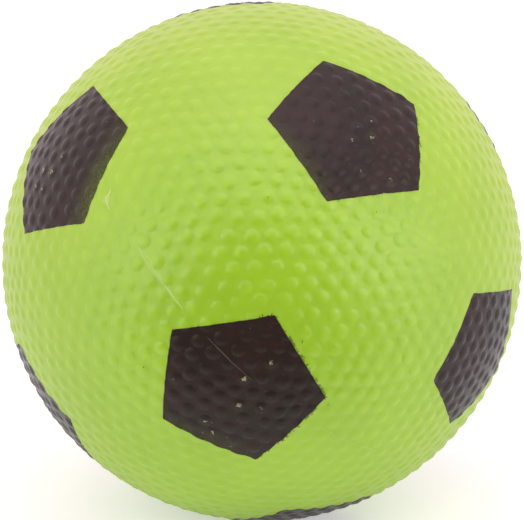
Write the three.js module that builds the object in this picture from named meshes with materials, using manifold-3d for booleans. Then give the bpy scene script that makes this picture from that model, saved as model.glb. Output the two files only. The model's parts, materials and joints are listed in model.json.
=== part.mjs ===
// Toy football: a hollow pebble-grained vinyl ball with twelve sprayed pentagons and a stoppered
// air valve.
// Millimetres, +Z up, origin at the ball's centre. The ball lies as it was photographed, seen from -Y.
import * as THREE from "three";
import { mergeVertices } from "three/addons/utils/BufferGeometryUtils.js";
import Module from "manifold-3d";

const wasm = await Module();
wasm.setup();

// Ball: a common size of vinyl toy football, with the wall of a soft rotational moulding.
const BALL_DIAMETER = 150;
const WALL = 1.2;
const BALL_RADIUS = BALL_DIAMETER / 2;
const INNER_RADIUS = BALL_RADIUS - WALL;

// Prints: angle at the ball's centre from a pentagon's middle to its corners, and the film of ink.
const PRINT_CORNER = 17.6;
const PRINT_FILM = 0.25;
const PRINT_CLEARANCE = 0.05;

// Valve: the seat is a flanged grommet in a round hole, and the plug is a tapered stopper with a flat head.
const HOLE_RADIUS = 7.3;
const SEAT_CLEARANCE = 0.3;
const FLANGE_WIDTH = 4;
const FLANGE_THICK = 1.5;
const FACE_RECESS = 0.4;
const SEAT_DEPTH = 11;
const NOZZLE_WALL = 1.9;
const HEAD_RADIUS = 4;
const HEAD_THICK = 1.2;
const BORE_OUTER = 2.7;
const BORE_INNER = 2.3;
const PLUG_CLEARANCE = 0.2;
const TIP_SHORT = 1;
const NOTCH_RADIUS = 1.4;

// How the ball lies: the valve's axis leans from straight up and points round the compass, and the ball
// is spun on it.
const VALVE_LEAN = 134.5;
const VALVE_COMPASS = 159.5;
const BALL_SPIN = 102.5;

const GOLDEN = (1 + Math.sqrt(5)) / 2;
const FACET_STEPS = 5;
const ROUND_STEPS = 48;
const INSIDE_STEPS = 11;
const NOTCH_STEPS = 20;
const NOTCH_ROWS = 14;
const SAME_PLACE = 1e-4;
const SAME_ANGLE = 1e-6;

// One print at each corner of an icosahedron, whose two-fold axis is the valve's axis (+Z here).
// Each was sprayed a little off its place: slip is in degrees, towards its first neighbour in this list and
// square to that, twist is in degrees about its own middle, and grown is how many degrees further out its
// corners lie.
const PRINTS = [
  { name: "pentagon_front", at: [GOLDEN, -1, 0], slip: [0, -1.85], twist: -0.25, grown: 0 },
  { name: "pentagon_upper_right", at: [1, 0, -GOLDEN], slip: [3.7, 1.8], twist: 1, grown: 0.1 },
  { name: "pentagon_upper_left", at: [GOLDEN, 1, 0], slip: [0.45, -0.85], twist: -1.85, grown: 0.5 },
  { name: "pentagon_right", at: [0, -GOLDEN, -1], slip: [2.6, 0.15], twist: 1, grown: -0.95 },
  { name: "pentagon_valve_front", at: [1, 0, GOLDEN], slip: [0.15, 0.45], twist: 0.5, grown: 0 },
  { name: "pentagon_bottom", at: [0, -GOLDEN, 1], slip: [3.7, -2.5], twist: -0.15, grown: 0 },
  { name: "pentagon_top", at: [0, GOLDEN, -1], slip: [0, 0], twist: 0, grown: 0 },
  { name: "pentagon_back_right", at: [-1, 0, -GOLDEN], slip: [1.5, 4], twist: 0, grown: 0 },
  { name: "pentagon_valve_back", at: [-1, 0, GOLDEN], slip: [0, 0], twist: 0, grown: 0 },
  { name: "pentagon_back_low", at: [-GOLDEN, -1, 0], slip: [0, 0], twist: 0, grown: 0 },
  { name: "pentagon_back", at: [-GOLDEN, 1, 0], slip: [0, 0], twist: 0, grown: 0 },
  { name: "pentagon_back_left", at: [0, GOLDEN, 1], slip: [0, 0], twist: 0, grown: 0 },
];

const degrees = THREE.MathUtils.degToRad;

// The part of a vector that is square to a direction, at unit length.
function squareTo(direction, vector) {
  return vector.clone().addScaledVector(direction, -vector.dot(direction)).normalize();
}

// Print middles, which of them are neighbours, and each print's corner towards each neighbour.
const middles = PRINTS.map((print) => new THREE.Vector3(...print.at).normalize());
const neighbours = middles.map((middle) =>
  middles.map((_, j) => j).filter((j) => Math.abs(middle.dot(middles[j]) - 1 / Math.sqrt(5)) < SAME_ANGLE),
);
const corners = PRINTS.map((print, i) => {
  const middle = middles[i];
  const along = squareTo(middle, middles[neighbours[i][0]]);
  const across = new THREE.Vector3().crossVectors(middle, along);
  const way = across.clone().multiplyScalar(print.slip[0]).addScaledVector(along, -print.slip[1]);
  const slip = new THREE.Quaternion().setFromAxisAngle(way.clone().normalize(), degrees(way.length()));
  const twist = new THREE.Quaternion().setFromAxisAngle(middle, degrees(print.twist));
  const turn = slip.multiply(twist);
  const reach = degrees(PRINT_CORNER + print.grown);
  const found = new Map();
  for (const j of neighbours[i]) {
    const corner = middle.clone().multiplyScalar(Math.cos(reach));
    corner.addScaledVector(squareTo(middle, middles[j]), Math.sin(reach));
    found.set(j, corner.applyQuaternion(turn));
  }
  return found;
});

// The corners of a polygon put in turn about its middle, anticlockwise from outside.
function inTurn(points) {
  const middle = points.reduce((sum, p) => sum.add(p), new THREE.Vector3()).normalize();
  const along = squareTo(middle, points[0]);
  const across = new THREE.Vector3().crossVectors(middle, along);
  const angle = (p) => Math.atan2(p.dot(across), p.dot(along));
  return { middle, ring: [...points].sort((a, b) => angle(a) - angle(b)) };
}

const pentagons = corners.map((found) => inTurn([...found.values()]));
const hexagons = [];
for (let a = 0; a < PRINTS.length; a++) {
  for (const b of neighbours[a].filter((j) => j > a)) {
    for (const c of neighbours[a].filter((j) => j > b && neighbours[b].includes(j))) {
      const ring = [corners[a].get(b), corners[b].get(a), corners[b].get(c)];
      ring.push(corners[c].get(b), corners[c].get(a), corners[a].get(c));
      hexagons.push(inTurn(ring));
    }
  }
}

// A point of the unit ball on a flat triangle's grid.
function gridPoint(a, b, c, i, j) {
  const p = a.clone().multiplyScalar(FACET_STEPS - i - j);
  return p.addScaledVector(b, i).addScaledVector(c, j).normalize();
}

// Triangles of a polygon on the ball, as a fan about its middle, each fan blade in a grid of facets.
function facetsOf({ middle, ring }) {
  const facets = [];
  ring.forEach((b, k) => {
    const c = ring[(k + 1) % ring.length];
    for (let i = 0; i < FACET_STEPS; i++) {
      for (let j = 0; j < FACET_STEPS - i; j++) {
        const p = gridPoint(middle, b, c, i, j);
        const q = gridPoint(middle, b, c, i + 1, j);
        const r = gridPoint(middle, b, c, i, j + 1);
        facets.push([p, q, r]);
        if (i + j < FACET_STEPS - 1) facets.push([q, gridPoint(middle, b, c, i + 1, j + 1), r]);
      }
    }
  });
  return facets;
}

// The points along a polygon's outline, in turn.
function outlineOf({ middle, ring }) {
  const points = [];
  ring.forEach((b, k) => {
    const c = ring[(k + 1) % ring.length];
    for (let j = 0; j < FACET_STEPS; j++) points.push(gridPoint(middle, b, c, FACET_STEPS - j, j));
  });
  return points;
}

// A closed mesh from triangles of points, with shared corners merged.
function meshFrom(triangles) {
  const geometry = new THREE.BufferGeometry().setFromPoints(triangles.flat());
  return mergeVertices(geometry, SAME_PLACE);
}

const scaled = (triangles, radius) => triangles.map((t) => t.map((p) => p.clone().multiplyScalar(radius)));
const reversed = (triangles) => triangles.map(([a, b, c]) => [a, c, b]);

function solidFrom(geometry) {
  const merged = mergeVertices(new THREE.BufferGeometry().setFromPoints(cornersOf(geometry)), SAME_PLACE);
  return new wasm.Manifold(
    new wasm.Mesh({
      numProp: 3,
      vertProperties: merged.getAttribute("position").array,
      triVerts: new Uint32Array(merged.index.array),
    }),
  );
}

// Every triangle's corners, one after another.
function cornersOf(geometry) {
  const flat = geometry.index ? geometry.toNonIndexed() : geometry;
  const position = flat.getAttribute("position");
  const corner = (_, i) => new THREE.Vector3().fromBufferAttribute(position, i);
  return Array.from({ length: position.count }, corner);
}

function geometryFrom(solid) {
  const made = solid.getMesh();
  const geometry = new THREE.BufferGeometry();
  const points = new Float32Array(made.numVert * 3);
  for (let i = 0; i < made.numVert; i++) {
    points.set(made.vertProperties.subarray(i * made.numProp, i * made.numProp + 3), i * 3);
  }
  geometry.setAttribute("position", new THREE.BufferAttribute(points, 3));
  geometry.setIndex(new THREE.BufferAttribute(made.triVerts, 1));
  return geometry;
}

// A body turned about the valve's axis from a closed outline of radius and height.
function turned(outline) {
  const points = [...outline, outline[0]].map(([r, z]) => new THREE.Vector2(r, z));
  return new THREE.LatheGeometry(points, ROUND_STEPS).rotateX(Math.PI / 2);
}

const greenVinyl = { color: 0x9cc53a, roughness: 0.35, metalness: 0 };
const blackInk = { color: 0x2b2622, roughness: 0.45, metalness: 0 };
const plugVinyl = { color: 0xe4e2d6, roughness: 0.4, metalness: 0 };

function piece(name, geometry, look) {
  geometry.computeVertexNormals();
  const mesh = new THREE.Mesh(geometry, new THREE.MeshStandardMaterial({ ...look, flatShading: true }));
  mesh.name = name;
  return mesh;
}

// Heights along the valve's axis.
const faceHeight = BALL_RADIUS - FACE_RECESS;
const seatEnd = faceHeight - SEAT_DEPTH;
const ledgeHeight = faceHeight - HEAD_THICK - PLUG_CLEARANCE;

// The shell: outside facets that follow the prints' outlines, a smooth inside and the valve's hole.
function ballShell() {
  const outside = solidFrom(meshFrom(scaled([...pentagons, ...hexagons].flatMap(facetsOf), BALL_RADIUS)));
  const inside = solidFrom(new THREE.IcosahedronGeometry(INNER_RADIUS, INSIDE_STEPS));
  const drill = new THREE.CylinderGeometry(HOLE_RADIUS, HOLE_RADIUS, BALL_RADIUS, ROUND_STEPS);
  const hole = solidFrom(drill.rotateX(Math.PI / 2).translate(0, 0, BALL_RADIUS));
  return geometryFrom(outside.subtract(inside).subtract(hole));
}

// A print: a film that lies on the shell's facets, with an edge all round.
function printFilm(pentagon) {
  const under = BALL_RADIUS + PRINT_CLEARANCE;
  const over = under + PRINT_FILM;
  const facets = facetsOf(pentagon);
  const edge = outlineOf(pentagon);
  const rim = [];
  edge.forEach((p, k) => {
    const q = edge[(k + 1) % edge.length];
    const low = [p, q].map((v) => v.clone().multiplyScalar(under));
    const high = [p, q].map((v) => v.clone().multiplyScalar(over));
    rim.push([low[0], low[1], high[1]], [low[0], high[1], high[0]]);
  });
  return meshFrom([...scaled(facets, over), ...scaled(reversed(facets), under), ...rim]);
}

// The seat: a barrel through the wall, a flange under the wall, a nozzle inwards, a tapered bore and a
// ledge for the plug's head. A thumbnail notch in its face reaches the head's rim.
function valveSeat() {
  const barrel = HOLE_RADIUS - SEAT_CLEARANCE;
  const flange = HOLE_RADIUS + FLANGE_WIDTH;
  const underWall = (r) => Math.sqrt((INNER_RADIUS - SEAT_CLEARANCE) ** 2 - r ** 2);
  const flangeEnd = underWall(flange) - FLANGE_THICK;
  const nozzle = BORE_OUTER + NOZZLE_WALL;
  const outline = [
    [BORE_INNER, seatEnd],
    [nozzle, seatEnd],
    [nozzle, flangeEnd],
    [flange, flangeEnd],
    [flange, underWall(flange)],
    [barrel + FLANGE_WIDTH / 2, underWall(barrel + FLANGE_WIDTH / 2)],
    [barrel, underWall(barrel)],
    [barrel, faceHeight],
    [HEAD_RADIUS + PLUG_CLEARANCE, faceHeight],
    [HEAD_RADIUS + PLUG_CLEARANCE, ledgeHeight],
    [BORE_OUTER, ledgeHeight],
  ];
  const notch = new THREE.SphereGeometry(NOTCH_RADIUS, NOTCH_STEPS, NOTCH_ROWS);
  notch.translate(HEAD_RADIUS + PLUG_CLEARANCE + NOTCH_RADIUS / 2, 0, faceHeight);
  return geometryFrom(solidFrom(turned(outline)).subtract(solidFrom(notch)));
}

// The plug: a flat head level with the seat's face, and a tapered shank with a rounded-off tip.
function valvePlug() {
  const taper = (BORE_OUTER - BORE_INNER) / (ledgeHeight - seatEnd);
  const tip = seatEnd + TIP_SHORT;
  const shank = (z) => BORE_INNER - PLUG_CLEARANCE + taper * (z - seatEnd);
  const outline = [
    [0, tip],
    [shank(tip) / 2, tip],
    [shank(tip + TIP_SHORT), tip + TIP_SHORT],
    [shank(ledgeHeight), ledgeHeight + PLUG_CLEARANCE],
    [HEAD_RADIUS, ledgeHeight + PLUG_CLEARANCE],
    [HEAD_RADIUS, faceHeight - HEAD_THICK / 4],
    [HEAD_RADIUS - HEAD_THICK / 4, faceHeight],
    [0, faceHeight],
  ];
  const points = outline.map(([r, z]) => new THREE.Vector2(r, z));
  return new THREE.LatheGeometry(points, ROUND_STEPS).rotateX(Math.PI / 2);
}

const spun = new THREE.Group();
spun.rotation.z = degrees(BALL_SPIN);
spun.add(piece("ball_shell", ballShell(), greenVinyl));
PRINTS.forEach((print, i) => spun.add(piece(print.name, printFilm(pentagons[i]), blackInk)));
spun.add(piece("valve_seat", valveSeat(), greenVinyl));
spun.add(piece("valve_plug", valvePlug(), plugVinyl));

const leant = new THREE.Group();
leant.rotation.y = degrees(VALVE_LEAN);
leant.add(spun);

const ball = new THREE.Group();
ball.rotation.z = degrees(VALVE_COMPASS);
ball.add(leant);

const group = new THREE.Group();
group.name = "toy_ball";
group.add(ball);

export default group;
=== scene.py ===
"""A hollow vinyl toy football: pebbled lime-green skin, sprayed black pentagons and a plugged valve."""

import itertools
import json
import math

import bmesh
import bpy
import numpy as np
from mathutils import Matrix, Vector, noise


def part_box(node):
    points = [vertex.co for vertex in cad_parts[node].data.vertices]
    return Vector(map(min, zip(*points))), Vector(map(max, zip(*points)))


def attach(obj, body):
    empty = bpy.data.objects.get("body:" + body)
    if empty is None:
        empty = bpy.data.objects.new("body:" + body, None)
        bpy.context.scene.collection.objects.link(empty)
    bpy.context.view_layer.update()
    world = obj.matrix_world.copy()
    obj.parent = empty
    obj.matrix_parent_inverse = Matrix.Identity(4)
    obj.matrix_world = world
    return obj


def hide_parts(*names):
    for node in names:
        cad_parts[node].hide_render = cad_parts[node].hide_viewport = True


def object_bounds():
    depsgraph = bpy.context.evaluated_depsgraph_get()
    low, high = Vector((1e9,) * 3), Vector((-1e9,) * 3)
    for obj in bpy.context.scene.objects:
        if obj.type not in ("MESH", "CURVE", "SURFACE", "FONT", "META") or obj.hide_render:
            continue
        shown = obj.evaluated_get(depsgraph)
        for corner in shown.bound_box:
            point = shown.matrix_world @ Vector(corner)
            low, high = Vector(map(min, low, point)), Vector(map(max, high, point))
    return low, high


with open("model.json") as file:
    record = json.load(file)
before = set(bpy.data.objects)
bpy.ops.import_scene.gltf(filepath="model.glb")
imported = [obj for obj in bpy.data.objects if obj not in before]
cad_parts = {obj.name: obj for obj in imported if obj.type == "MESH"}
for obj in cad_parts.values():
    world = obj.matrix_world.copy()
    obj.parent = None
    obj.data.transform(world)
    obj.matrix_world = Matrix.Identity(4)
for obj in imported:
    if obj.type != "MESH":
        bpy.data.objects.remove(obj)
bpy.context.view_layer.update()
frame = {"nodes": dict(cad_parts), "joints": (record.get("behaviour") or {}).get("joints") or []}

# View: the photograph looks at the ball from the front and a little down, from seven ball radii away.
# The lens follows from the ball's size in the picture, which is 524 by 520 pixels.
shell_low, shell_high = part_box("ball_shell")
ball_radius = (shell_high.x - shell_low.x) / 2
picture_width = 524
picture_height = 520
ball_pixels = 260.7
left_of_middle = 0.3
below_middle = 1.4
view_radii = 7
view_height = math.radians(12)
towards_viewer = Vector((0, -math.cos(view_height), math.sin(view_height)))
view_focus = ball_pixels * math.sqrt(view_radii**2 - 1)

view_lens = bpy.data.cameras.new("photo_view")
view_lens.sensor_width = 36
view_lens.lens = view_lens.sensor_width * view_focus / picture_width
view_lens.shift_x = left_of_middle / picture_width
view_lens.shift_y = below_middle / picture_width
view_lens.clip_start = 0.01
view = bpy.data.objects.new("photo_view", view_lens)
view.location = towards_viewer * view_radii * ball_radius
view.rotation_euler = towards_viewer.to_track_quat("Z", "Y").to_euler()
bpy.context.scene.collection.objects.link(view)
bpy.context.scene.camera = view


# Ball skin: one hollow moulding of soft lime-green vinyl, spun in a two-part mould whose wall is sunk all
# over with round dimples, so pebbles cover the skin in nearly even rows. The valve has a smooth round pad.
pebble_rows = 17
pebble_scatter = 0.12
pebble_pull = 0.4
lattice_seed = 5
pebble_foot = math.radians(1.54)
foot_share = 0.46
foot_limit = 0.85
pebble_ring = 0.7
gap_spread = 1.6
pebble_wide_spread = 0.1
pebble_tall_spread = 0.25
pebble_seed = 11
pebble_height = 0.00045
pebble_roundness = 2.0
foot_crispness = 0.75
foot_tolerance = 0.01
corner_angle = math.radians(55)
skin_swell = 0.00016
swell_scale = 22.0
wall_thickness = 0.0012
inside_rings = 40
last_ring = math.radians(177)
valve_axis = Vector(frame["joints"][0]["axis"]).normalized()
valve_hole = 0.0073
valve_pad = 0.0112
pad_edge = 0.0015
print_near = 0.2
corner_apart = 0.9

green_deep = (0.302, 0.525, 0.012, 1)
green_pale = (0.334, 0.565, 0.018, 1)
vinyl_drift = 35.0
grain_scale = 2400.0
grain_strength = 0.12
grain_depth = 0.0001
polish_scale = 160.0
polish_change = (-0.05, 0.06)
noise_most = (0.3, 0.7)
noise_middle = (0.35, 0.65)
seep_evenness = 0.9
seep_facing = (0.7, 0.85)
seep_colours = (1.0, 1.0, 0.3)
seep_depth = 0.0016


def unit(vectors):
    return vectors / np.linalg.norm(vectors, axis=-1, keepdims=True)


def print_outline(name):
    """The middle and the corners of a print, as directions from the ball's centre, read from its solid."""
    points = unit(np.array([vertex.co for vertex in frame["nodes"][name].data.vertices]))
    middle = unit(points.mean(0))
    along = unit(np.cross(middle, valve_axis))
    bearing = np.arctan2(points @ np.cross(middle, along), points @ along)
    corners = []
    for k in np.argsort(points @ middle):
        turns = [math.remainder(bearing[k] - bearing[corner], 2 * math.pi) for corner in corners]
        if all(abs(turn) > corner_apart for turn in turns):
            corners.append(k)
    corners.sort(key=lambda k: bearing[k])
    return unit(points[corners].sum(0)), points[corners]


def pebble_lattice():
    """Middles of the pebbles on a unit ball, and the triangles between neighbours: a geodesic grid, a bit
    shaken. Its twelve odd points, with five neighbours each, lie under the prints' middles."""
    tops = np.array([middle for middle, _ in print_outlines.values()])
    near = tops @ tops.T > print_near
    arc = math.acos(1 / math.sqrt(5)) / pebble_rows
    places, triangles = {}, []

    def add_triangle(corners, *steps):
        three = []
        for i, j in steps:
            shares = zip(corners, (pebble_rows - i - j, i, j))
            place = tuple(sorted(pair for pair in shares if pair[1]))
            three.append(places.setdefault(place, len(places)))
        triangles.append(three)

    for corners in itertools.combinations(range(len(tops)), 3):
        if not near[np.ix_(corners, corners)].all():
            continue
        if np.linalg.det(tops[list(corners)]) < 0:
            corners = corners[::-1]
        for i in range(pebble_rows):
            for j in range(pebble_rows - i):
                add_triangle(corners, (i, j), (i + 1, j), (i, j + 1))
                if i + j < pebble_rows - 1:
                    add_triangle(corners, (i + 1, j), (i + 1, j + 1), (i, j + 1))
    triangles = np.array(triangles)
    points = unit(np.array([
        sum(tops[top] * math.sin(share * arc) for top, share in place) for place in places
    ]))
    pitch = math.sqrt(4 * math.pi / len(points))
    shake = np.random.default_rng(lattice_seed).normal(size=points.shape)
    points = unit(points + shake * pitch * pebble_scatter)
    starts, ends = triangles.ravel(), np.roll(triangles, -1, axis=1).ravel()
    pulled = np.zeros_like(points)
    np.add.at(pulled, starts, points[ends])
    return unit((1 - pebble_pull) * points + pebble_pull * unit(pulled)), triangles


def pebbled_blank():
    """A smooth ball whose mesh is laid out round its pebbles: crown, ring, twelve-sided foot and gaps.
    Gives the vertices, the triangles, how far each vertex is from its crown (1 at the foot) and how tall
    its pebble stands."""
    middles, triangles = pebble_lattice()
    count = len(middles)
    start, end = triangles, np.roll(triangles, -1, axis=1)
    key = (start * count + end).ravel()
    edges = key.size
    order = np.argsort(key)
    there = np.arange(edges).reshape(-1, 3)
    across = order[np.searchsorted(key, (end * count + start).ravel(), sorter=order)].reshape(-1, 3)
    back = np.roll(across, 1, axis=1)

    aim = unit(middles[end] - (middles[end] * middles[start]).sum(-1, keepdims=True) * middles[start])
    between = unit(aim + aim.reshape(-1, 3)[back])
    reach = np.arccos(np.clip((middles[start] * middles[end]).sum(-1), -1, 1))
    draw = np.random.default_rng(pebble_seed)
    foot = pebble_foot * draw.uniform(1 - pebble_wide_spread, 1 + pebble_wide_spread, count)
    foot_out = np.minimum(foot[start], foot_share * reach)
    gaps = unit(middles[triangles].sum(1))
    gap_reach = np.arccos(np.clip((middles[start] * gaps[:, None]).sum(-1), -1, 1))
    foot_mid = np.minimum((foot_out + foot_out.ravel()[back]) / 2, foot_limit * gap_reach)
    tall = draw.uniform(1 - pebble_tall_spread, 1, count)

    def ring_of(way, angle):
        angle = angle[..., None]
        return (np.cos(angle) * middles[start] + np.sin(angle) * way).reshape(-1, 3)

    rings = [ring_of(aim, pebble_ring * foot_out), ring_of(aim, foot_out), ring_of(between, foot_mid)]
    vertices = np.concatenate([middles, *rings, gaps])
    on_ring, on_foot = np.full(edges, pebble_ring), np.full(2 * edges, 1.0)
    spread = np.concatenate([np.zeros(count), on_ring, on_foot, np.full(len(gaps), gap_spread)])
    owner = start.ravel()
    stand = np.concatenate([tall, tall[owner], tall[owner], tall[owner], np.ones(len(gaps))])

    ring, rim, mid = count, count + edges, count + 2 * edges
    heart = mid + edges + np.arange(len(gaps))
    onward = np.roll(there, -1, axis=1)
    faces = []
    for k in range(3):
        crown, out, home = triangles[:, k], there[:, k], back[:, k]
        corners = [
            (crown, ring + out, ring + home),
            (ring + out, rim + out, mid + out),
            (ring + out, mid + out, ring + home),
            (ring + home, mid + out, rim + home),
            (heart, rim + out, rim + across[:, k]),
            (heart, rim + across[:, k], mid + onward[:, k]),
            (heart, mid + out, rim + out),
        ]
        faces += [np.stack(three, 1) for three in corners]
    return vertices, np.concatenate(faces), spread, stand


def new_piece(name, mesh):
    made = bpy.data.objects.new(name, mesh)
    bpy.context.scene.collection.objects.link(made)
    return made


def mark(mesh, name, values):
    """Has a mesh's vertices carry a value each."""
    mesh.attributes.new(name, "FLOAT", "POINT").data.foreach_set("value", values)


def blank_mesh(name, vertices, faces, marks):
    """A mesh whose vertices carry the named values."""
    made = bpy.data.meshes.new(name)
    made.from_pydata(vertices.tolist(), [], faces.tolist())
    for label, values in marks.items():
        mark(made, label, values)
    return made


def add(tree, kind, inputs=None, **settings):
    """A new node with its settings, and its inputs set to a value or linked from an output."""
    made = tree.nodes.new(kind)
    for name, value in settings.items():
        setattr(made, name, value)
    for name, value in (inputs or {}).items():
        if isinstance(value, bpy.types.NodeSocket):
            tree.links.new(value, made.inputs[name])
        else:
            made.inputs[name].default_value = value
    return made


def sum_of(tree, operation, *values, **settings):
    """A sum on numbers or outputs."""
    return add(tree, "ShaderNodeMath", dict(enumerate(values)), operation=operation, **settings).outputs[0]


def vector_sum(tree, operation, *values):
    """A sum on vectors that gives a vector."""
    return add(tree, "ShaderNodeVectorMath", dict(enumerate(values)), operation=operation).outputs[0]


def measure(tree, operation, first, second):
    """A distance or a dot product of two vectors."""
    return add(tree, "ShaderNodeVectorMath", {0: first, 1: second}, operation=operation).outputs["Value"]


def stretched(tree, vector, scale):
    return add(tree, "ShaderNodeVectorMath", {0: vector, "Scale": scale}, operation="SCALE").outputs[0]


def ranged(tree, value, low, high, to_low=0.0, to_high=1.0, **settings):
    """A value stretched from one range to another, and held there."""
    numbers = {"Value": value, "From Min": low, "From Max": high, "To Min": to_low, "To Max": to_high}
    return add(tree, "ShaderNodeMapRange", numbers, **settings).outputs[0]


def noise_at(tree, place, scale, detail):
    return add(tree, "ShaderNodeTexNoise", {"Vector": place, "Scale": scale, "Detail": detail}).outputs[0]


def carried(tree, name):
    """In a geometry tree, the value that each vertex carries."""
    return add(tree, "GeometryNodeInputNamedAttribute", {"Name": name}, data_type="FLOAT").outputs[0]


def point_place(tree):
    return add(tree, "GeometryNodeInputPosition").outputs[0]


def geometry_tree(name, inputs):
    """A new geometry tree with the given named inputs, and the outputs of its input node."""
    tree = bpy.data.node_groups.new(name, "GeometryNodeTree")
    tree.interface.new_socket("Geometry", in_out="OUTPUT", socket_type="NodeSocketGeometry")
    tree.interface.new_socket("Geometry", in_out="INPUT", socket_type="NodeSocketGeometry")
    for label, kind in inputs.items():
        tree.interface.new_socket(label, in_out="INPUT", socket_type="NodeSocket" + kind)
    return tree, tree.nodes.new("NodeGroupInput").outputs


def finish_tree(tree, geometry, material):
    """The end of every tree: smooth faces, instances made real, and the piece's material."""
    smooth = add(tree, "GeometryNodeSetShadeSmooth", {"Geometry": geometry})
    real = add(tree, "GeometryNodeRealizeInstances", {"Geometry": smooth.outputs[0]})
    dressed = add(tree, "GeometryNodeSetMaterial", {"Geometry": real.outputs[0], "Material": material})
    add(tree, "NodeGroupOutput", {"Geometry": dressed.outputs[0]})


def make_plain(piece):
    """Turns what a piece's modifiers make into its own plain mesh."""
    graph = bpy.context.evaluated_depsgraph_get()
    made = piece.evaluated_get(graph)
    done = bpy.data.meshes.new_from_object(made, preserve_all_data_layers=True, depsgraph=graph)
    piece.modifiers.clear()
    piece.data = done


def grow(piece, tree, values):
    """Runs a tree on a piece with the named inputs, and keeps the result as a plain mesh."""
    way = piece.modifiers.new(tree.name, "NODES")
    way.node_group = tree
    for socket in tree.interface.items_tree:
        if socket.name in values:
            way[socket.identifier] = values[socket.name]
    make_plain(piece)


def pebble_grain():
    """Raises the pebbles, but for a smooth pad round the valve, and puts the skin a bit out of round."""
    tree, given = geometry_tree("pebble_grain", {
        "Pebble Height": "Float", "Pebble Roundness": "Float", "Pad Middle": "Vector",
        "Pad Radius": "Float", "Pad Edge": "Float", "Unevenness": "Float", "Uneven Scale": "Float",
        "Material": "Material",
    })
    fall = sum_of(tree, "POWER", carried(tree, "pebble_spread"), given["Pebble Roundness"])
    rise = sum_of(tree, "SUBTRACT", 1.0, fall, use_clamp=True)
    dome = sum_of(tree, "MULTIPLY", rise, carried(tree, "pebble_stand"))
    place = point_place(tree)
    away = measure(tree, "DISTANCE", place, given["Pad Middle"])
    pad_end = sum_of(tree, "ADD", given["Pad Radius"], given["Pad Edge"])
    grained = ranged(tree, away, given["Pad Radius"], pad_end, interpolation_type="SMOOTHSTEP")
    relief = add(tree, "ShaderNodeMix", {0: grained, 2: 1.0, 3: dome}, data_type="FLOAT").outputs[0]
    raised = sum_of(tree, "MULTIPLY", relief, given["Pebble Height"])
    swell = noise_at(tree, place, given["Uneven Scale"], 1.0)
    sunk = sum_of(tree, "MULTIPLY", sum_of(tree, "SUBTRACT", swell, 1.0), given["Unevenness"])
    lift = stretched(tree, vector_sum(tree, "NORMALIZE", place), sum_of(tree, "ADD", raised, sunk))
    moved = add(tree, "GeometryNodeSetPosition", {"Geometry": given["Geometry"], "Offset": lift})
    finish_tree(tree, moved.outputs[0], given["Material"])
    return tree


def line_skin(piece):
    """Cuts the valve's round hole in the skin, and closes the skin with its wall and its smooth inside."""
    inner_radius = ball_radius - wall_thickness
    work = bmesh.new()
    work.from_mesh(piece.data)
    rim = valve_axis * math.sqrt((ball_radius - skin_swell / 2) ** 2 - valve_hole**2)
    whole = work.verts[:] + work.edges[:] + work.faces[:]
    bmesh.ops.bisect_plane(work, geom=whole, plane_co=rim, plane_no=valve_axis, clear_outer=True)
    ring = [edge for edge in work.edges if edge.is_boundary]
    first_ring = math.asin(valve_hole / inner_radius)
    for step in range(inside_rings):
        polar = first_ring + (last_ring - first_ring) * step / (inside_rings - 1)
        made = bmesh.ops.extrude_edge_only(work, edges=ring)["geom"]
        ring = [part for part in made if isinstance(part, bmesh.types.BMEdge) and part.is_boundary]
        for vertex in {end for edge in ring for end in edge.verts}:
            side = (vertex.co - valve_axis * vertex.co.dot(valve_axis)).normalized()
            vertex.co = (valve_axis * math.cos(polar) + side * math.sin(polar)) * inner_radius
    bmesh.ops.contextual_create(work, geom=ring)
    bmesh.ops.triangulate(work, faces=[face for face in work.faces if len(face.verts) > 4])
    bmesh.ops.recalc_face_normals(work, faces=work.faces)
    work.to_mesh(piece.data)
    work.free()


def crease(mesh):
    """Smooth shading with sharp corners, and most of a crease round the foot of every pebble."""
    def corner_normals():
        normals = np.empty(len(mesh.loops) * 3, np.float32)
        mesh.corner_normals.foreach_get("vector", normals)
        return normals.reshape(-1, 3)

    mesh.shade_smooth()
    mesh.set_sharp_from_angle(angle=corner_angle)
    soft = corner_normals()
    spread = np.empty(len(mesh.vertices), np.float32)
    mesh.attributes["pebble_spread"].data.foreach_get("value", spread)
    ends = np.empty(len(mesh.edges) * 2, np.int32)
    mesh.edges.foreach_get("vertices", ends)
    at_foot = (np.abs(spread[ends.reshape(-1, 2)] - 1) < foot_tolerance).all(1)
    sharp = mesh.attributes.get("sharp_edge") or mesh.attributes.new("sharp_edge", "BOOLEAN", "EDGE")
    marked = np.empty(len(mesh.edges), bool)
    sharp.data.foreach_get("value", marked)
    sharp.data.foreach_set("value", marked | at_foot)
    mesh.update()
    blended = unit((1 - foot_crispness) * soft + foot_crispness * corner_normals())
    mesh.normals_split_custom_set(blended.tolist())


def object_place(tree):
    return add(tree, "ShaderNodeTexCoord").outputs["Object"]


def vinyl_grain():
    """A shader group for moulded vinyl: a slow drift of tone, a fine grain and a patchy polish."""
    group = bpy.data.node_groups.new("vinyl_grain", "ShaderNodeTree")
    details = {"Drift": 3.0, "Grain": 2.0, "Polish": 4.0}
    for label in details:
        group.interface.new_socket(label + " Scale", in_out="INPUT", socket_type="NodeSocketFloat")
        group.interface.new_socket(label, in_out="OUTPUT", socket_type="NodeSocketFloat")
    given = group.nodes.new("NodeGroupInput").outputs
    place = object_place(group)
    add(group, "NodeGroupOutput", {
        label: noise_at(group, place, given[label + " Scale"], detail) for label, detail in details.items()
    })
    return group


def new_material(name):
    made = bpy.data.materials.new(name)
    made.use_nodes = True
    tree = made.node_tree
    tree.nodes.clear()
    finish = tree.nodes.new("ShaderNodeBsdfPrincipled")
    add(tree, "ShaderNodeOutputMaterial", {"Surface": finish.outputs[0]})
    return made, tree, finish


def blended_colour(tree, share, first, second):
    return add(tree, "ShaderNodeMix", {0: share, 6: first, 7: second}, data_type="RGBA").outputs[2]


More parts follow.
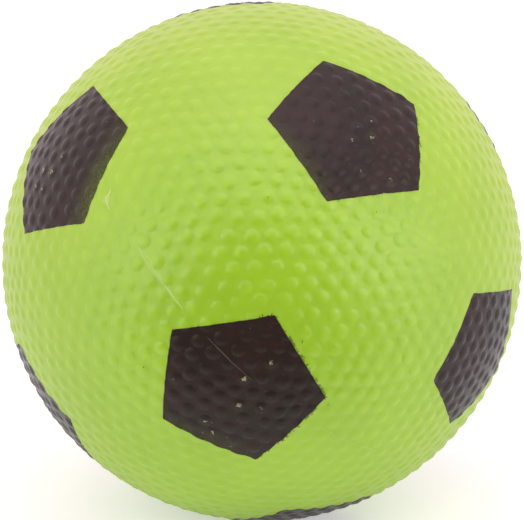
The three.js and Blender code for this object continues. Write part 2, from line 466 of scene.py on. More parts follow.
def grained_finish(tree, roughness, drift_scale):
    """Gives the drift of a finish's tone, from 0 to 1, its patchy roughness and its fine-grained normal."""
    scales = {"Drift Scale": drift_scale, "Grain Scale": grain_scale, "Polish Scale": polish_scale}
    grain = add(tree, "ShaderNodeGroup", scales, node_tree=grain_group).outputs
    gloss = ranged(tree, grain["Polish"], *noise_most, *(roughness + change for change in polish_change))
    bump = add(tree, "ShaderNodeBump", {
        "Height": grain["Grain"], "Strength": grain_strength, "Distance": grain_depth,
    })
    return ranged(tree, grain["Drift"], *noise_middle), gloss, bump.outputs[0]


def seeped_normal(tree, own):
    """How a surface faces for light that has seeped through the vinyl: nearly like a smooth ball, but for
    walls and edges that face another way."""
    place = object_place(tree)
    smooth = vector_sum(tree, "NORMALIZE", place)
    share = ranged(tree, measure(tree, "DOT_PRODUCT", own, smooth), *seep_facing, 0.0, seep_evenness)
    mixed = add(tree, "ShaderNodeMix", {0: share, 4: own, 5: smooth}, data_type="VECTOR").outputs[1]
    return vector_sum(tree, "NORMALIZE", mixed)


def vinyl(name, deep, pale, roughness, ior, seep):
    """Soft vinyl whose colour drifts between two tones. Light seeps into it under a clear gloss."""
    made, tree, finish = new_material(name)
    drift, gloss, own = grained_finish(tree, roughness, vinyl_drift)
    tree.links.new(blended_colour(tree, drift, deep, pale), finish.inputs["Base Color"])
    tree.links.new(gloss, finish.inputs["Roughness"])
    tree.links.new(seeped_normal(tree, own), finish.inputs["Normal"])
    finish.inputs["Coat Weight"].default_value = 1.0
    finish.inputs["Coat Roughness"].default_value = roughness
    finish.inputs["Coat IOR"].default_value = ior
    finish.inputs["Specular IOR Level"].default_value = 0.0
    finish.inputs["Subsurface Weight"].default_value = seep
    finish.inputs["Subsurface Radius"].default_value = seep_colours
    finish.inputs["Subsurface Scale"].default_value = seep_depth
    return made


grain_group = vinyl_grain()
green_vinyl = vinyl("green_vinyl", green_deep, green_pale, roughness=0.33, ior=1.8, seep=1.0)

print_nodes = sorted(name for name in frame["nodes"] if name.startswith("pentagon_"))
print_outlines = {name: print_outline(name) for name in print_nodes}
blank_points, blank_faces, blank_spread, blank_stand = pebbled_blank()
blank_points = blank_points * (ball_radius - pebble_height)
blank_marks = {"pebble_spread": blank_spread, "pebble_stand": blank_stand}
skin = new_piece("ball_skin", blank_mesh("ball_skin", blank_points, blank_faces, blank_marks))
grow(skin, pebble_grain(), {
    "Pebble Height": pebble_height, "Pebble Roundness": pebble_roundness,
    "Pad Middle": valve_axis * ball_radius, "Pad Radius": valve_pad, "Pad Edge": pad_edge,
    "Unevenness": skin_swell, "Uneven Scale": swell_scale, "Material": green_vinyl,
})
line_skin(skin)
crease(skin.data)
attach(skin, "ball")
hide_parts("ball_shell")


# Prints: twelve pentagons of warm black ink, sprayed through a mask, so each has crisp corners, an edge
# that creeps a little and a few flecks beyond it. The film follows the pebbles, has come off some crowns and
# is thin in places. Spots and specks are given by their pixels in the picture.
film_lift = 0.00001
film_thickness = 0.00004
drop_from = 1.05
drop_length = 0.02
print_creep = 0.00018
creep_scales = (900, 300)
print_reach = math.radians(22)
bare_spots = {
    "pentagon_upper_left": [(58, 158, 0.7), (49, 170, 1), (40, 177, 0.9), (42, 187, 0.7), (34, 191, 0.8)],
    "pentagon_upper_right": [
        (344, 134, 0.8), (358, 131, 0.7), (367, 138, 0.9), (370, 126, 0.65), (352, 122, 0.6),
        (378, 121, 0.6), (357, 145, 0.6), (393, 173, 0.65), (386, 187, 0.55), (403, 161, 0.5),
        (360, 165, 0.5),
    ],
    "pentagon_front": [
        (244, 388, 1), (242, 400, 0.9), (260, 401, 0.7), (271, 363, 0.8), (205, 421, 0.7), (212, 430, 0.8),
    ],
    "pentagon_right": [(472, 352, 0.3)],
}
bare_elsewhere = 4
bare_scatter = 0.09
bare_losses = (0.5, 0.9)
thin_width = 0.004
thin_length = 0.24
thin_fade = 1.3
thin_most = 0.4
thin_edges = {
    "pentagon_upper_left": ((97, 184), 1.0, 0.0065),
    "pentagon_upper_right": ((302, 168), 0.4, thin_width),
}
speck_radius = 0.00013
speck_sides = 7
stray_specks = {"pentagon_upper_right": [(268, 197), (377, 212)], "pentagon_front": [(143, 368)]}

fleck_size = 0.00032
fleck_shortest = (0.5, 0.25, 1)
fleck_longest = (1.6, 0.5, 1)
fleck_swing = 0.7
fleck_thinness = (0.5, 3.0)
fleck_spacing = 0.0004
fleck_reach = 0.0005
stray_reach = 0.002
stray_rarity = 120.0
fleck_side = (1, 0, 0)
side_pull = 0.7
patch_scale = 140.0
fleck_luck = (0.2, 0.8)
fleck_bar = 1.4
fleck_shares = {"pentagon_front": -0.1, "pentagon_upper_right": -0.33, "pentagon_upper_left": -1.0}
usual_share = -0.48

ink_deep = (0.017, 0.0128, 0.0092, 1)
ink_pale = (0.029, 0.0148, 0.0125, 1)
rubbed_tone = (0.32, 0.37, 0.17, 1)
ink_roughness = 0.2
ink_ior = 1.40
ink_drift = 60.0
mottle_scale = 300.0
speck_scale = 2200.0
thin_tint = (0.03, 0.2)
wear = (0.2, 1.6)
wear_through = (0.38, 0.75)
wear_most = 0.85
dust_scale = 420.0
pinhole_dust = (0.71, 0.78)
pinhole_most = 0.3


def on_ball(x, y):
    """Where a pixel of the picture falls on the ball, as a direction from its centre."""
    right = Vector((1, 0, 0))
    up = towards_viewer.cross(right)
    across = x - (picture_width / 2 - left_of_middle)
    down = y - (picture_height / 2 + below_middle)
    ray = (right * across - up * down - towards_viewer * view_focus).normalized()
    start = towards_viewer * view_radii
    nearest = -ray.dot(start)
    return np.array((start + ray * (nearest - math.sqrt(nearest**2 - view_radii**2 + 1))).normalized())


def bare_crowns(points, spread, node, middle, draw):
    """How much ink each crown has lost: those seen in the picture, or a few near the middle."""
    bare = np.zeros(len(points))
    crowns = np.flatnonzero(spread == 0)
    spots = [(on_ball(x, y), loss) for x, y, loss in bare_spots.get(node, [])]
    if not spots:
        spots = [
            (unit(middle + draw.normal(size=3) * bare_scatter), draw.uniform(*bare_losses))
            for _ in range(bare_elsewhere)
        ]
    for spot, loss in spots:
        bare[crowns[np.argmax(points[crowns] @ spot)]] = loss
    return bare


def thin_film(points, node, corners, walls, draw):
    """How thin the film is at each point: one edge of a print got less ink than the rest."""
    if node in thin_edges:
        pixel, strength, width = thin_edges[node]
        spot = on_ball(*pixel)
        thin_wall = max(walls, key=lambda wall: wall @ spot)
    else:
        strength, width = draw.uniform(0, thin_most), thin_width
        side = draw.integers(len(walls))
        thin_wall = walls[side]
        spot = unit(corners[side] + np.roll(corners, -1, axis=0)[side])
    along = np.clip(thin_fade - np.linalg.norm(unit(points) - spot, axis=-1) / thin_length, 0, 1)
    return strength * along * np.clip(1 + points @ thin_wall / width, 0, 1)


def cut_print(node, middle, corners, draw):
    """The blank's faces inside a print's outline, with an edge that creeps, and its stray specks."""
    inside = blank_points @ middle > math.cos(print_reach) * (ball_radius - pebble_height)
    used, faces = np.unique(blank_faces[inside[blank_faces].all(1)], return_inverse=True)
    points, spread = blank_points[used], blank_spread[used]
    following = np.roll(corners, -1, axis=0)
    walls = [unit(np.cross(after, corner)) for corner, after in zip(corners, following)]
    made = blank_mesh(node + "_ink", points, faces.reshape(-1, 3), {
        "pebble_spread": spread,
        "ink_thin": thin_film(points, node, corners, walls, draw),
        "ink_bare": bare_crowns(points, spread, node, middle, draw),
    })
    work = bmesh.new()
    work.from_mesh(made)
    walls = [Vector(wall) for wall in walls]
    for wall in walls:
        whole = work.verts[:] + work.edges[:] + work.faces[:]
        bmesh.ops.bisect_plane(work, geom=whole, plane_co=(0, 0, 0), plane_no=wall, clear_outer=True)
    for vertex in work.verts:
        if vertex.is_boundary:
            wall = max(walls, key=lambda way: way.dot(vertex.co))
            creep = sum((0.5 * noise.noise(vertex.co * scale) for scale in creep_scales), 0.5)
            vertex.co += wall * max(creep, 0) * print_creep
    for pixel in stray_specks.get(node, []):
        out = Vector(on_ball(*pixel))
        place = Matrix.Translation(out * ball_radius) @ out.to_track_quat("Z", "Y").to_matrix().to_4x4()
        disc = {"segments": speck_sides, "radius": speck_radius, "matrix": place}
        bmesh.ops.create_circle(work, cap_ends=True, **disc)
    work.to_mesh(made)
    work.free()
    return made


def dropped(tree, target):
    """Rays from just above the points to the ball's centre. Gives their outputs and the way out."""
    place = point_place(tree)
    out = vector_sum(tree, "NORMALIZE", place)
    ray = add(tree, "GeometryNodeRaycast", {
        "Target Geometry": target, "Source Position": stretched(tree, place, drop_from),
        "Ray Direction": stretched(tree, out, -1.0), "Ray Length": drop_length,
    })
    return ray.outputs, out


def laid_on(tree, geometry, target, lift):
    """Drops points onto a surface, or a little above it. Gives the geometry and how the surface faces."""
    ray, out = dropped(tree, target)
    goal = vector_sum(tree, "ADD", ray["Hit Position"], stretched(tree, out, lift))
    moved = add(tree, "GeometryNodeSetPosition", {"Geometry": geometry, "Position": goal})
    return moved.outputs[0], ray["Hit Normal"]


def joined(tree, *parts):
    made = tree.nodes.new("GeometryNodeJoinGeometry")
    for part in parts:
        tree.links.new(part, made.inputs[0])
    return made.outputs[0]


def chance(tree, seed, low=0.0, high=1.0):
    limits = {2: low, 3: high, "Seed": seed}
    return add(tree, "FunctionNodeRandomValue", limits, data_type="FLOAT").outputs[1]


def flecks_on(tree, given, target, outline):
    """Flecks of ink just outside an outline, strokes that point away from the print's middle."""
    seed = given["Seed"]
    spacing = {"Curve": outline, "Length": given["Fleck Spacing"]}
    dotted = add(tree, "GeometryNodeResampleCurve", spacing, mode="LENGTH").outputs[0]
    dots = add(tree, "GeometryNodeCurveToPoints", {"Curve": dotted}, mode="EVALUATED").outputs[0]
    place = point_place(tree)
    away = vector_sum(tree, "NORMALIZE", vector_sum(tree, "SUBTRACT", place, given["Middle"]))
    side = measure(tree, "DOT_PRODUCT", away, given["Fleck Side"])
    patch = noise_at(tree, place, patch_scale, 1.0)
    luck = sum_of(tree, "ADD", patch, chance(tree, seed, *fleck_luck))
    share = sum_of(tree, "MULTIPLY_ADD", side, side_pull, given["Fleck Share"])
    bar = sum_of(tree, "SUBTRACT", fleck_bar, share)
    none = add(tree, "FunctionNodeCompare", {0: luck, 1: bar}, operation="LESS_THAN").outputs[0]
    cleared = {"Geometry": dots, "Selection": none}
    kept = add(tree, "GeometryNodeDeleteGeometry", cleared, domain="POINT").outputs[0]

    rare = sum_of(tree, "POWER", chance(tree, seed), stray_rarity)
    stray = sum_of(tree, "MULTIPLY", rare, given["Stray Reach"])
    far = sum_of(tree, "ADD", sum_of(tree, "MULTIPLY", chance(tree, seed), given["Fleck Reach"]), stray)
    throw = {"Geometry": kept, "Offset": stretched(tree, away, far)}
    thrown = add(tree, "GeometryNodeSetPosition", throw).outputs[0]
    landed, facing = laid_on(tree, thrown, target, given["Lift"])

    disc = {"Vertices": speck_sides, "Radius": given["Fleck Size"]}
    fleck = add(tree, "GeometryNodeMeshCircle", disc, fill_type="NGON").outputs[0]
    upright = add(tree, "FunctionNodeAlignRotationToVector", {"Vector": facing}, axis="Z").outputs[0]
    outwards = {"Rotation": upright, "Vector": away}
    aimed = add(tree, "FunctionNodeAlignRotationToVector", outwards, axis="X", pivot_axis="Z").outputs[0]
    swing = {"Angle": chance(tree, seed, -fleck_swing, fleck_swing)}
    turn = add(tree, "FunctionNodeAxisAngleToRotation", swing).outputs[0]
    swung = {"Rotation": aimed, "Rotate By": turn}
    rotation = add(tree, "FunctionNodeRotateRotation", swung, rotation_space="LOCAL").outputs[0]
    lengths = {0: fleck_shortest, 1: fleck_longest, "Seed": seed}
    scale = add(tree, "FunctionNodeRandomValue", lengths, data_type="FLOAT_VECTOR").outputs[0]
    flecks = add(tree, "GeometryNodeInstanceOnPoints", {
        "Points": landed, "Instance": fleck, "Rotation": rotation, "Scale": scale,
    }).outputs[0]
    return add(tree, "GeometryNodeStoreNamedAttribute", {
        "Geometry": flecks, "Name": "ink_thin", "Value": chance(tree, seed, *fleck_thinness),
    }, data_type="FLOAT", domain="INSTANCE").outputs[0]


def ink_film():
    """Lays a film on the skin, and scatters flecks of ink outside its edge, most of them on one side."""
    tree, given = geometry_tree("ink_film", {
        "Skin": "Object", "Lift": "Float", "Middle": "Vector", "Fleck Size": "Float",
        "Fleck Spacing": "Float", "Fleck Reach": "Float", "Stray Reach": "Float", "Fleck Share": "Float",
        "Fleck Side": "Vector", "Seed": "Int", "Material": "Material",
    })
    target = add(tree, "GeometryNodeObjectInfo", {"Object": given["Skin"]}).outputs["Geometry"]
    film, _ = laid_on(tree, given["Geometry"], target, given["Lift"])
    faces = add(tree, "GeometryNodeInputMeshEdgeNeighbors").outputs[0]
    edge = add(tree, "FunctionNodeCompare", {2: faces, 3: 1}, data_type="INT", operation="EQUAL").outputs[0]
    outline = add(tree, "GeometryNodeMeshToCurve", {"Mesh": film, "Selection": edge}).outputs[0]
    both = joined(tree, film, flecks_on(tree, given, target, outline))
    finish_tree(tree, both, given["Material"])
    return tree


def mark_of(tree, name):
    """In a material, the value that the piece's own vertices carry."""
    return add(tree, "ShaderNodeAttribute", attribute_name=name).outputs["Fac"]


def ink_finish():
    """Warm black ink whose tone drifts, tinted green where it is thin and rubbed off some crowns."""
    made, tree, finish = new_material("black_ink")
    drift, gloss, own = grained_finish(tree, ink_roughness, ink_drift)
    place = object_place(tree)
    mottle = ranged(tree, noise_at(tree, place, mottle_scale, 3.0), *noise_middle)
    mottled = sum_of(tree, "MULTIPLY", sum_of(tree, "ADD", drift, mottle), 0.5)
    ink = blended_colour(tree, mottled, ink_deep, ink_pale)
    speck = noise_at(tree, place, speck_scale, 2.0)
    tint = ranged(tree, speck, *noise_most, *thin_tint)
    thin = sum_of(tree, "MULTIPLY", mark_of(tree, "ink_thin"), tint)
    tinted = blended_colour(tree, thin, ink, green_pale)
    rubbing = ranged(tree, speck, *noise_middle, *wear)
    worn = sum_of(tree, "MULTIPLY", mark_of(tree, "ink_bare"), rubbing)
    bare = ranged(tree, worn, *wear_through, 0.0, wear_most)
    pinhole = ranged(tree, noise_at(tree, place, dust_scale, 3.0), *pinhole_dust, 0.0, pinhole_most)
    rubbed = blended_colour(tree, sum_of(tree, "MAXIMUM", bare, pinhole), tinted, rubbed_tone)
    tree.links.new(rubbed, finish.inputs["Base Color"])
    tree.links.new(gloss, finish.inputs["Roughness"])
    tree.links.new(own, finish.inputs["Normal"])
    finish.inputs["IOR"].default_value = ink_ior
    return made


black_ink = ink_finish()
film_tree = ink_film()
prints = bpy.data.collections.new("prints")
bpy.context.scene.collection.children.link(prints)
for number, (node, (middle, corners)) in enumerate(print_outlines.items()):
    draw = np.random.default_rng(number)
    film = bpy.data.objects.new(node + "_ink", cut_print(node, middle, corners, draw))
    prints.objects.link(film)
    grow(film, film_tree, {
        "Skin": skin, "Lift": film_lift, "Middle": Vector(middle) * ball_radius, "Fleck Size": fleck_size,
        "Fleck Spacing": fleck_spacing, "Fleck Reach": fleck_reach, "Stray Reach": stray_reach,
        "Fleck Share": fleck_shares.get(node, usual_share), "Fleck Side": fleck_side,
        "Seed": number, "Material": black_ink,
    })
    thick = film.modifiers.new("film", "SOLIDIFY")
    thick.thickness = film_thickness
    thick.offset = 1
    make_plain(film)
    crease(film.data)
    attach(film, "ball")
    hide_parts(node)


# Moulding line: the fine raised thread of vinyl where the two halves of the mould met, a circle round the
# valve's side of the ball, a little beyond its middle. It was moulded with the skin and then inked over. It
# shows best in a few stretches, and a scuff beside it is a nick from trimming.
line_lean = math.radians(131.6)
line_compass = math.radians(153.7)
line_rise = -0.1665
line_turn = Matrix.Rotation(line_compass, 3, "Z") @ Matrix.Rotation(line_lean, 3, "Y")
line_radius = 0.00028
line_sunk = -0.00016
line_sunk_share = -0.97
line_steps = 720
thread_step = 0.0003
thread_sides = 6
faint_scale = 90.0
faint_noise = (0.38, 0.6)
faint_fullness = (0.35, 0.62)
inked_fullness = 0.1
clear_stretches = [((157, 276), 0.012, 1.0), ((350, 442), 0.014, 0.5), ((248, 378), 0.014, 0.14)]
scuff_strokes = [
    [(110, 187, 0.5), (108, 194, 1.6), (106, 200, 3.4)],
    [(102, 197, 0.8), (104, 198, 2.2), (106, 200, 3.4)],
    [(106, 200, 3.4), (107, 205, 2.2), (108, 210, 0.5)],
]
scuff_middle = (105, 199)
scuff_pale = (0.0004, 0.0015)

# The thread's tones are paler than the skin's and, where inked, paler than the ink's: a painted highlight
# along the ridge.
line_deep_highlit = (0.365, 0.60, 0.06, 1)
line_pale_highlit = (0.39, 0.635, 0.095, 1)
line_scuffed = (0.50, 0.66, 0.17, 1)
line_inked_highlit = (0.06, 0.05, 0.045, 1)
line_roughness = 0.36
line_drift = 120.0
# Painted on the skin: a painted highlight in a band beside the line, and the whitening round the scuff.
highlight_and_scuff_tone = (0.46, 0.68, 0.20, 1)
band_width = (0.0003, 0.0011)
band_scale = 420.0
band_noise = (0.35, 0.6)
band_highlight = (0.1, 0.5)


def moulding_paths():
    """The line's ring and the scuff's strokes, as edges on the ball, marked where they show best."""
    points, edges = [], []
    ring_radius = math.sqrt(1 - line_rise**2)
    for step in range(line_steps):
        angle = 2 * math.pi * step / line_steps
        place = Vector((ring_radius * math.cos(angle), ring_radius * math.sin(angle), line_rise))
        points.append(line_turn @ place * ball_radius)
        edges.append((step, (step + 1) % line_steps))
    for stroke in scuff_strokes:
        edges += [(len(points) + k, len(points) + k + 1) for k in range(len(stroke) - 1)]
        points += [Vector(on_ball(x, y)) * ball_radius for x, y, _ in stroke]
    clear = np.zeros(len(points))
    for pixel, reach, share in clear_stretches:
        away = np.linalg.norm(np.array(points) - on_ball(*pixel) * ball_radius, axis=-1)
        clear = np.maximum(clear, share * np.clip(2 - 2 * away / reach, 0, 1))
    made = bpy.data.meshes.new("moulding_line")
    made.from_pydata(points, edges, [])
    mark(made, "scuff", [0.0] * line_steps + [width for stroke in scuff_strokes for _, _, width in stroke])
    mark(made, "clear", clear)
    return made


def moulding_thread():
    """A thread laid on the skin and the prints along the edges, faint in places, marked where inked."""
    tree, given = geometry_tree("moulding_thread", {
        "Skin": "Object", "Prints": "Collection", "Sunk": "Float", "Thread Radius": "Float",
        "Step": "Float", "Material": "Material",
    })
    ground = add(tree, "GeometryNodeObjectInfo", {"Object": given["Skin"]}).outputs["Geometry"]
    films = add(tree, "GeometryNodeCollectionInfo", {"Collection": given["Prints"]}).outputs[0]
    films = add(tree, "GeometryNodeRealizeInstances", {"Geometry": films}).outputs[0]
    path = add(tree, "GeometryNodeMeshToCurve", {"Mesh": given["Geometry"]}).outputs[0]
    steps = {"Curve": path, "Length": given["Step"]}
    path = add(tree, "GeometryNodeResampleCurve", steps, mode="LENGTH").outputs[0]
    place = point_place(tree)
    film_ray, _ = dropped(tree, films)
    inked = film_ray["Is Hit"]
    clear = sum_of(tree, "MULTIPLY_ADD", inked, inked_fullness, carried(tree, "clear"))
    faint = ranged(tree, noise_at(tree, place, faint_scale, 2.0), *faint_noise, *faint_fullness)
    fullness = sum_of(tree, "MAXIMUM", sum_of(tree, "ADD", faint, clear), carried(tree, "scuff"))
    width = sum_of(tree, "MULTIPLY", fullness, given["Thread Radius"])
    excess = sum_of(tree, "MAXIMUM", sum_of(tree, "SUBTRACT", width, given["Thread Radius"]), 0.0)
    sunk = sum_of(tree, "MULTIPLY_ADD", excess, line_sunk_share, given["Sunk"])
    path, _ = laid_on(tree, path, joined(tree, ground, films), sunk)
    path = add(tree, "GeometryNodeStoreNamedAttribute", {
        "Geometry": path, "Name": "inked", "Value": inked,
    }, data_type="FLOAT", domain="POINT").outputs[0]
    profile = add(tree, "GeometryNodeCurvePrimitiveCircle", {"Resolution": thread_sides, "Radius": 1.0})
    thread = add(tree, "GeometryNodeCurveToMesh", {
        "Curve": path, "Profile Curve": profile.outputs[0], "Scale": width, "Fill Caps": True,
    })
    finish_tree(tree, thread.outputs[0], given["Material"])
    return tree


def line_finish():
    """The skin's vinyl in paler tones, a painted highlight along the ridge, whiter on the scuff, and where
    inked a grey-black paler than the ink, the same painted highlight.
    """
    made, tree, finish = new_material("moulding_line")
    drift, gloss, own = grained_finish(tree, line_roughness, line_drift)
    tone = blended_colour(tree, drift, line_deep_highlit, line_pale_highlit)
    tone = blended_colour(tree, mark_of(tree, "scuff"), tone, line_scuffed)
    inked_highlit_tone = blended_colour(tree, drift, ink_pale, line_inked_highlit)
    tone = blended_colour(tree, mark_of(tree, "inked"), tone, inked_highlit_tone)
    tree.links.new(tone, finish.inputs["Base Color"])
    tree.links.new(gloss, finish.inputs["Roughness"])
    tree.links.new(own, finish.inputs["Normal"])
    return made


def paint_highlight_and_scuff(tree):
    """Pales the skin in a band beside the line's clearest stretch, a painted highlight along the ridge, and
    round the scuff, where it was stretched.
    """
    finish = tree.nodes["Principled BSDF"]
    base = finish.inputs["Base Color"].links[0].from_socket
    place = object_place(tree)

    def within(pixel, full, none):
        away = measure(tree, "DISTANCE", place, Vector(on_ball(*pixel)) * ball_radius)
        return ranged(tree, away, full, none, 1.0, 0.0)

    height = measure(tree, "DOT_PRODUCT", place, line_turn @ Vector((0, 0, 1)))
    aside = sum_of(tree, "ABSOLUTE", sum_of(tree, "SUBTRACT", height, line_rise * ball_radius))
    band = ranged(tree, aside, *band_width, 1.0, 0.0)
    clearest, reach, _ = clear_stretches[0]
    beside = sum_of(tree, "MULTIPLY", band, within(clearest, reach / 2, reach))
    patchy = ranged(tree, noise_at(tree, place, band_scale, 2.0), *band_noise, *band_highlight)
    pale = sum_of(tree, "MULTIPLY", beside, patchy)
    share = sum_of(tree, "MAXIMUM", pale, within(scuff_middle, *scuff_pale))
    tree.links.new(blended_colour(tree, share, base, highlight_and_scuff_tone), finish.inputs["Base Color"])


paint_highlight_and_scuff(green_vinyl.node_tree)
line = new_piece("moulding_line", moulding_paths())
grow(line, moulding_thread(), {
    "Skin": skin, "Prints": prints, "Sunk": line_sunk, "Thread Radius": line_radius, "Step": thread_step,
    "Material": line_finish(),
})
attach(line, "ball")


# Valve seat: a flanged grommet of the ball's own green vinyl, welded under the skin, with a nozzle inwards,
# a tapered bore, a ledge for the plug's head and a thumbnail notch. Its face is level with the pad.
valve_spin = math.radians(102.5)
valve_face = 0.0746
seat_outline = [
    (0.0023, 0.0636), (0.0046, 0.0636), (0.0046, 0.07115), (0.0113, 0.07115), (0.0113, 0.07262),
    (0.009, 0.07294), (0.007, 0.07316), (0.007, valve_face), (0.0042, valve_face), (0.0042, 0.0732),
    (0.0027, 0.0732),
]
seat_fillet = 0.0003
notch_radius = 0.0014
notch_place = 0.0049
turning_steps = 96
fillet_steps = 4
same_place = 1e-7
valve_corner = math.radians(35)


def valve_turn():
    """From the valve's own frame, with its axis on Z, to the ball's."""
    compass = Matrix.Rotation(math.atan2(valve_axis.y, valve_axis.x), 4, "Z")
    lean = Matrix.Rotation(math.acos(valve_axis.z), 4, "Y")
    return compass @ lean @ Matrix.Rotation(valve_spin, 4, "Z")


def filleted(outline, radius, closed):
    """An outline of radius and height with its corners rounded off."""
    points = [Vector(point) for point in outline]
    last = len(points) - 1
    eased = []
    for k, corner in enumerate(points):
        if not closed and k in (0, last):
            eased.append(corner)
            continue
        before, after = points[k - 1], points[(k + 1) % len(points)]
        start = corner + (before - corner).normalized() * min(radius, (before - corner).length / 2)
        end = corner + (after - corner).normalized() * min(radius, (after - corner).length / 2)
        for step in range(fillet_steps + 1):
            t = step / fillet_steps
            eased.append(start * (1 - t) ** 2 + corner * 2 * t * (1 - t) + end * t**2)
    return eased


def turned(name, outline, closed):
    """A body turned about the valve's axis from an outline of radius and height."""
    points, faces = [], []
    rows = len(outline)
    for step in range(turning_steps):
        angle = 2 * math.pi * step / turning_steps
        points += [(p.x * math.cos(angle), p.x * math.sin(angle), p.y) for p in outline]
        for k in range(rows if closed else rows - 1):
            following = (k + 1) % rows
            here, there = step * rows, (step + 1) % turning_steps * rows
            faces.append((here + k, here + following, there + following, there + k))
    made = bpy.data.meshes.new(name)
    made.from_pydata(points, [], faces)
    work = bmesh.new()
    work.from_mesh(made)
    bmesh.ops.remove_doubles(work, verts=work.verts, dist=same_place)
    bmesh.ops.recalc_face_normals(work, faces=work.faces)
    work.to_mesh(made)
    work.free()
    return made


def set_in_valve(piece, material):
    """Puts a turned piece in its place on the ball, smooth with sharp corners, and dresses it."""
    piece.data.transform(valve_turn())
    piece.data.shade_smooth()
    piece.data.set_sharp_from_angle(angle=valve_corner)
    piece.data.materials.clear()
    piece.data.materials.append(material)


def scoop_notch(piece):
    """Scoops a round notch out of the seat's face, for a thumbnail under the plug's head."""
    notch_mesh = bpy.data.meshes.new("notch")
    work = bmesh.new()
    bmesh.ops.create_uvsphere(work, u_segments=32, v_segments=20, radius=notch_radius)
    bmesh.ops.translate(work, verts=work.verts, vec=(notch_place, 0, valve_face))
    work.to_mesh(notch_mesh)
    work.free()
    notch = new_piece("notch", notch_mesh)
    scoop = piece.modifiers.new("notch", "BOOLEAN")
    scoop.object = notch
    scoop.operation = "DIFFERENCE"
    make_plain(piece)
    bpy.data.objects.remove(notch)


seat_mesh = turned("valve_seat_grommet", filleted(seat_outline, seat_fillet, True), True)
seat = new_piece("valve_seat_grommet", seat_mesh)
scoop_notch(seat)
set_in_valve(seat, green_vinyl)
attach(seat, "ball")
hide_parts("valve_seat")


# Valve plug: a stopper of milky vinyl, with a flat head that lies in the seat's ledge and a tapered shank
# that pushes into the bore. Two beads round the shank grip it.
plug_outline = [
    (0, 0.0646), (0.00107, 0.0646), (0.00217, 0.0656), (0.00222, 0.0672), (0.00236, 0.0675),
    (0.00225, 0.0678), (0.00235, 0.0702), (0.00248, 0.0705), (0.00237, 0.0708), (0.0025, 0.0734),
    (0.004, 0.0734), (0.004, 0.0742), (0.0036, 0.0746), (0.003, 0.07456), (0.0028, 0.07438), (0, 0.07438),
]
plug_fillet = 0.0002
plug_deep = (0.74, 0.73, 0.66, 1)
plug_pale = (0.82, 0.81, 0.75, 1)
plug_vinyl = vinyl("plug_vinyl", plug_deep, plug_pale, roughness=0.32, ior=1.5, seep=0.4)
plug_mesh = turned("valve_stopper", filleted(plug_outline, plug_fillet, False), False)
plug = new_piece("valve_stopper", plug_mesh)
set_in_valve(plug, plug_vinyl)
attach(plug, "plug")
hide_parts("valve_plug")


# Floor and light: a white table that is lit from within and falls off towards the viewer, its colour painted
# darker there as painted shade, inside a white tent with warm light overhead, a soft box on either side of
# the viewer and a dark gap where they stand.
# A patch of the tent has its direction, its inner and outer angles in degrees, and its light.
floor_half = 3.0
floor_seen = (0.8, 0.8, 0.8, 1)
floor_seen_glow = (0.38, 0.38, 0.38, 1)
floor_tone = (0.68, 0.73, 0.75, 1)
floor_glow = (0.118, 0.118, 0.102, 1)
floor_dark_front = (-0.185, -0.085)
floor_dark_slant = (0.5, 1.6)
floor_dimmest = 0.14
nearest_ahead = 0.02
black = (0, 0, 0, 1)
white = (1, 1, 1, 1)
tent_light = (0.904, 0.776, 0.792, 1)
viewer_gap = ((0, -1, -0.05), 14, 44)
viewer_light = (0.01, 0.01, 0.01, 1)
soft_patches = {
    "back": ((0, 0.6, 0.8), 10, 80, (0.11, 0.08, 0.104, 1)),
    "top": ((0, -0.35, 0.94), 10, 42, (0.51, 0.42, 0.485, 1)),
    "left": ((-0.80, -0.60, 0.1), 8, 28, (0.70, 0.69, 0.683, 1)),
    "right": ((0.835, -0.54, 0.11), 10, 33, (0.865, 0.852, 0.851, 1)),
}
fill_light = (1.0, 0.957, 0.94)
fill_power = 4.48
fill_width = 1.7
fill_height = 0.5
fill_place = (0, -0.78, 0.175)


def patch_of(tree, way, towards, inner, outer):
    """A soft round patch of the tent: 1 within the inner angle of a direction and 0 beyond the outer."""
    near = measure(tree, "DOT_PRODUCT", way, Vector(towards).normalized())
    low, high = math.cos(math.radians(outer)), math.cos(math.radians(inner))
    return ranged(tree, near, low, high, interpolation_type="SMOOTHSTEP")


def lit_more(tree, share, light, added):
    """A light with a share of another added to it."""
    settings = {"data_type": "RGBA", "blend_type": "ADD"}
    return add(tree, "ShaderNodeMix", {0: share, 6: light, 7: added}, **settings).outputs[2]


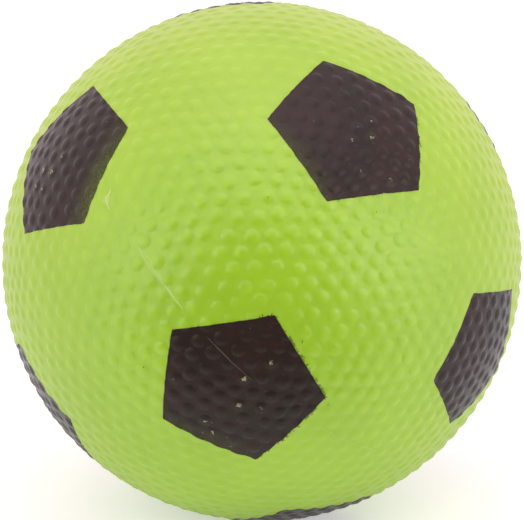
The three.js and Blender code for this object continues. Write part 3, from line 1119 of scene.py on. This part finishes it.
floor_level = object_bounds()[0].z
floor_corners = [(-1, -1), (1, -1), (1, 1), (-1, 1)]
floor_points = [(x * floor_half, y * floor_half, floor_level) for x, y in floor_corners]
floor_mesh = bpy.data.meshes.new("floor")
floor_mesh.from_pydata(floor_points, [], [(0, 1, 2, 3)])
floor = new_piece("floor", floor_mesh)
floor_paint, tree, finish = new_material("floor_paint")
finish.inputs["Roughness"].default_value = 0.9
finish.inputs["Specular IOR Level"].default_value = 0.0
finish.inputs["Emission Strength"].default_value = 1.0
place = object_place(tree)
spot = add(tree, "ShaderNodeSeparateXYZ", {0: place}).outputs
near_lit = ranged(tree, spot["Y"], *floor_dark_front, floor_dimmest, 1.0)
ahead = sum_of(tree, "MAXIMUM", sum_of(tree, "MULTIPLY", spot["Y"], -1.0), nearest_ahead)
slant = sum_of(tree, "DIVIDE", sum_of(tree, "ABSOLUTE", spot["X"]), ahead)
lit = sum_of(tree, "MAXIMUM", near_lit, ranged(tree, slant, *floor_dark_slant, floor_dimmest, 1.0))
seen = add(tree, "ShaderNodeLightPath").outputs["Is Camera Ray"]
# Painted shade: the floor's colour turns darker in front of the ball for the light it sends back; the camera
# sees it plain.
paint = blended_colour(tree, lit, black, floor_tone)
glow = blended_colour(tree, lit, black, floor_glow)
tree.links.new(blended_colour(tree, seen, paint, floor_seen), finish.inputs["Base Color"])
tree.links.new(blended_colour(tree, seen, glow, floor_seen_glow), finish.inputs["Emission Color"])
floor_mesh.materials.append(floor_paint)

world = bpy.data.worlds.new("surround")
bpy.context.scene.world = world
world.use_nodes = True
tree = world.node_tree
tree.nodes.clear()
way = add(tree, "ShaderNodeTexCoord").outputs["Generated"]
around = blended_colour(tree, patch_of(tree, way, *viewer_gap), tent_light, viewer_light)
for towards, inner, outer, light in soft_patches.values():
    around = lit_more(tree, patch_of(tree, way, towards, inner, outer), around, light)
seen = add(tree, "ShaderNodeLightPath").outputs["Is Camera Ray"]
surround = add(tree, "ShaderNodeBackground", {"Color": blended_colour(tree, seen, around, white)})
add(tree, "ShaderNodeOutputWorld", {"Surface": surround.outputs[0]})

fill_lamp = bpy.data.lights.new("fill", "AREA")
fill_lamp.shape = "ELLIPSE"
fill_lamp.size = fill_width
fill_lamp.size_y = fill_height
fill_lamp.energy = fill_power
fill_lamp.color = fill_light
fill = bpy.data.objects.new("fill", fill_lamp)
fill.location = fill_place
fill.rotation_euler = Vector(fill_place).to_track_quat("Z", "Y").to_euler()
fill.visible_glossy = False
fill.visible_camera = False
bpy.context.scene.collection.objects.link(fill)
bpy.context.scene.view_settings.view_transform = "Standard"
